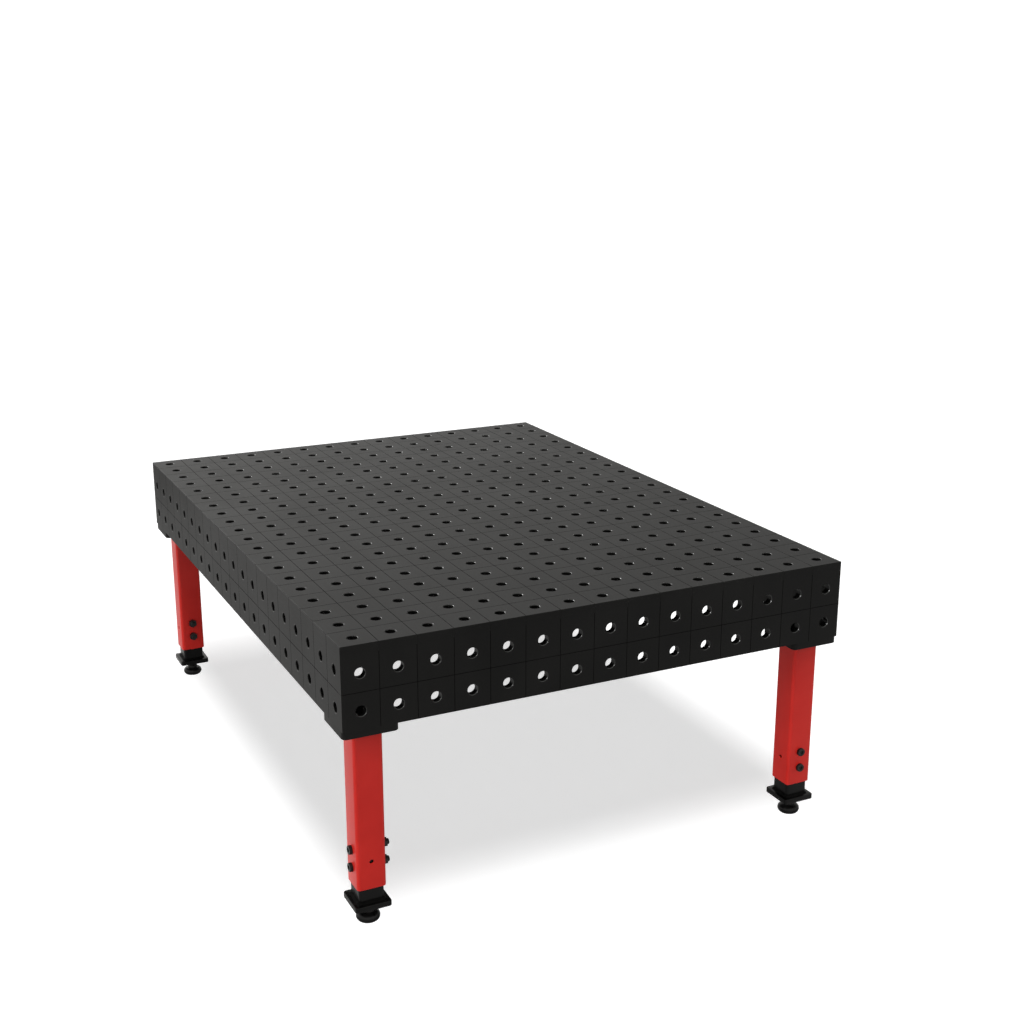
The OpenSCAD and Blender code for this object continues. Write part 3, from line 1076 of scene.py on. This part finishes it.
def make_sky():
    """What the table's gloss mirrors: a pale room, dimmer on one side."""
    world = bpy.data.worlds.new("studio_sky")
    bpy.context.scene.world = world
    world.cycles_visibility.diffuse = False
    world.use_nodes = True
    tree = world.node_tree
    way = tree.nodes.new("ShaderNodeTexCoord").outputs["Generated"]

    def ramp(value, low, high, to_low, to_high):
        made = tree.nodes.new("ShaderNodeMapRange")
        made.interpolation_type = "SMOOTHSTEP"
        for name, number in zip(("From Min", "From Max", "To Min", "To Max"), (low, high, to_low, to_high)):
            made.inputs[name].default_value = number
        tree.links.new(value, made.inputs["Value"])
        return made.outputs["Result"]

    def along(direction):
        """How far a direction of view points along another."""
        made = tree.nodes.new("ShaderNodeVectorMath")
        made.operation = "DOT_PRODUCT"
        tree.links.new(way, made.inputs[0])
        made.inputs[1].default_value = Vector(direction).normalized()
        return made.outputs["Value"]

    def multiplied(first, second):
        made = tree.nodes.new("ShaderNodeMath")
        made.operation = "MULTIPLY"
        tree.links.new(first, made.inputs[0])
        tree.links.new(second, made.inputs[1])
        return made.outputs["Value"]

    rise = along((0, 0, 1))
    below = ramp(rise, *HORIZON_BAND, SKY_LOW / SKY_HORIZON, 1)
    above = ramp(rise, *RISE_BAND, SKY_HORIZON, SKY_HIGH)
    side = ramp(along(SIDE_WAY), *SIDE_BAND, 1, SIDE_DIM)
    dimmed = multiplied(multiplied(below, above), side)
    background = tree.nodes["Background"]
    background.inputs["Color"].default_value = SKY_TINT
    tree.links.new(dimmed, background.inputs["Strength"])


def sun(name, towards, strength, spread):
    """Adds a soft lamp, far off, that shines from the direction towards."""
    lamp = bpy.data.lights.new(name, "SUN")
    lamp.energy = strength
    lamp.angle = math.radians(spread)
    made = bpy.data.objects.new(name, lamp)
    made.rotation_mode = "QUATERNION"
    made.rotation_quaternion = Vector(towards).to_track_quat("Z", "Y")
    made.visible_camera = False
    made.visible_glossy = False
    bpy.context.scene.collection.objects.link(made)
    return made


def linked(name, things):
    """A collection of things that a lamp's light linking can name."""
    made = bpy.data.collections.new(name)
    for thing in things:
        made.objects.link(thing)
    return made


def mirrored_only(lamp, name, things):
    """Lets only these things see a lamp, and only in their gloss."""
    lamp.visible_glossy = True
    lamp.visible_diffuse = False
    lamp.light_linking.receiver_collection = linked(name, things)


def make_keys():
    """A long soft box overhead. Only the table's plates cast its shadow."""
    plates = linked("shadow_of_the_keys", [
        thing for thing in bpy.context.scene.objects
        if "_plate_" in thing.name and thing.name.endswith("_steel")
    ])
    for k, (towards, strength) in enumerate(KEYS):
        made = sun(f"key_lamp_{k}", towards, strength, KEY_SPREAD)
        made.light_linking.blocker_collection = plates


def make_glints():
    """The bright spots on the rims of the bores: small lamps that only one plate mirrors."""
    for k, (towards, strength, node) in enumerate(GLINTS):
        made = sun(f"glint_lamp_{k}", towards, strength, GLINT_SPREAD)
        mirrored_only(made, f"lit_by_the_glint_{k}", [bpy.data.objects[f"{node}_steel"]])


def make_bounce():
    """Light off the floor on the left, which the gloss of the left legs mirrors."""
    tubes = [bpy.data.objects[f"leg_tube_{leg}_fine"] for leg in ("front_left", "rear_left")]
    made = sun("bounce_lamp", BOUNCE, BOUNCE_STRENGTH, BOUNCE_SPREAD)
    mirrored_only(made, "lit_by_the_bounce", tubes)


def make_fills(floor):
    """Very soft lamps all round and from below, as a white floor gives. They leave the floor as it is."""
    unlit = linked("unlit_by_the_fills", [floor])
    unlit.collection_objects[0].light_linking.link_state = "EXCLUDE"
    for k, (towards, strength) in enumerate(FILLS):
        made = sun(f"fill_lamp_{k}", towards, strength, FILL_SPREAD)
        made.light_linking.receiver_collection = unlit


def make_camera():
    """The camera of the photo."""
    camera = bpy.data.cameras.new("camera")
    camera.lens = CAMERA_LENS
    camera.sensor_width = CAMERA_SENSOR
    camera.clip_end = CAMERA_REACH
    made = bpy.data.objects.new("camera", camera)
    made.location = CAMERA_AT
    made.rotation_euler = (math.radians(CAMERA_TILT), 0, math.radians(CAMERA_TURN))
    bpy.context.scene.collection.objects.link(made)
    bpy.context.scene.camera = made


studio_floor = make_floor()
make_card(studio_floor)
make_backdrop()
make_sky()
make_keys()
make_glints()
make_bounce()
make_fills(studio_floor)
make_camera()
bpy.context.scene.view_settings.view_transform = "Standard"
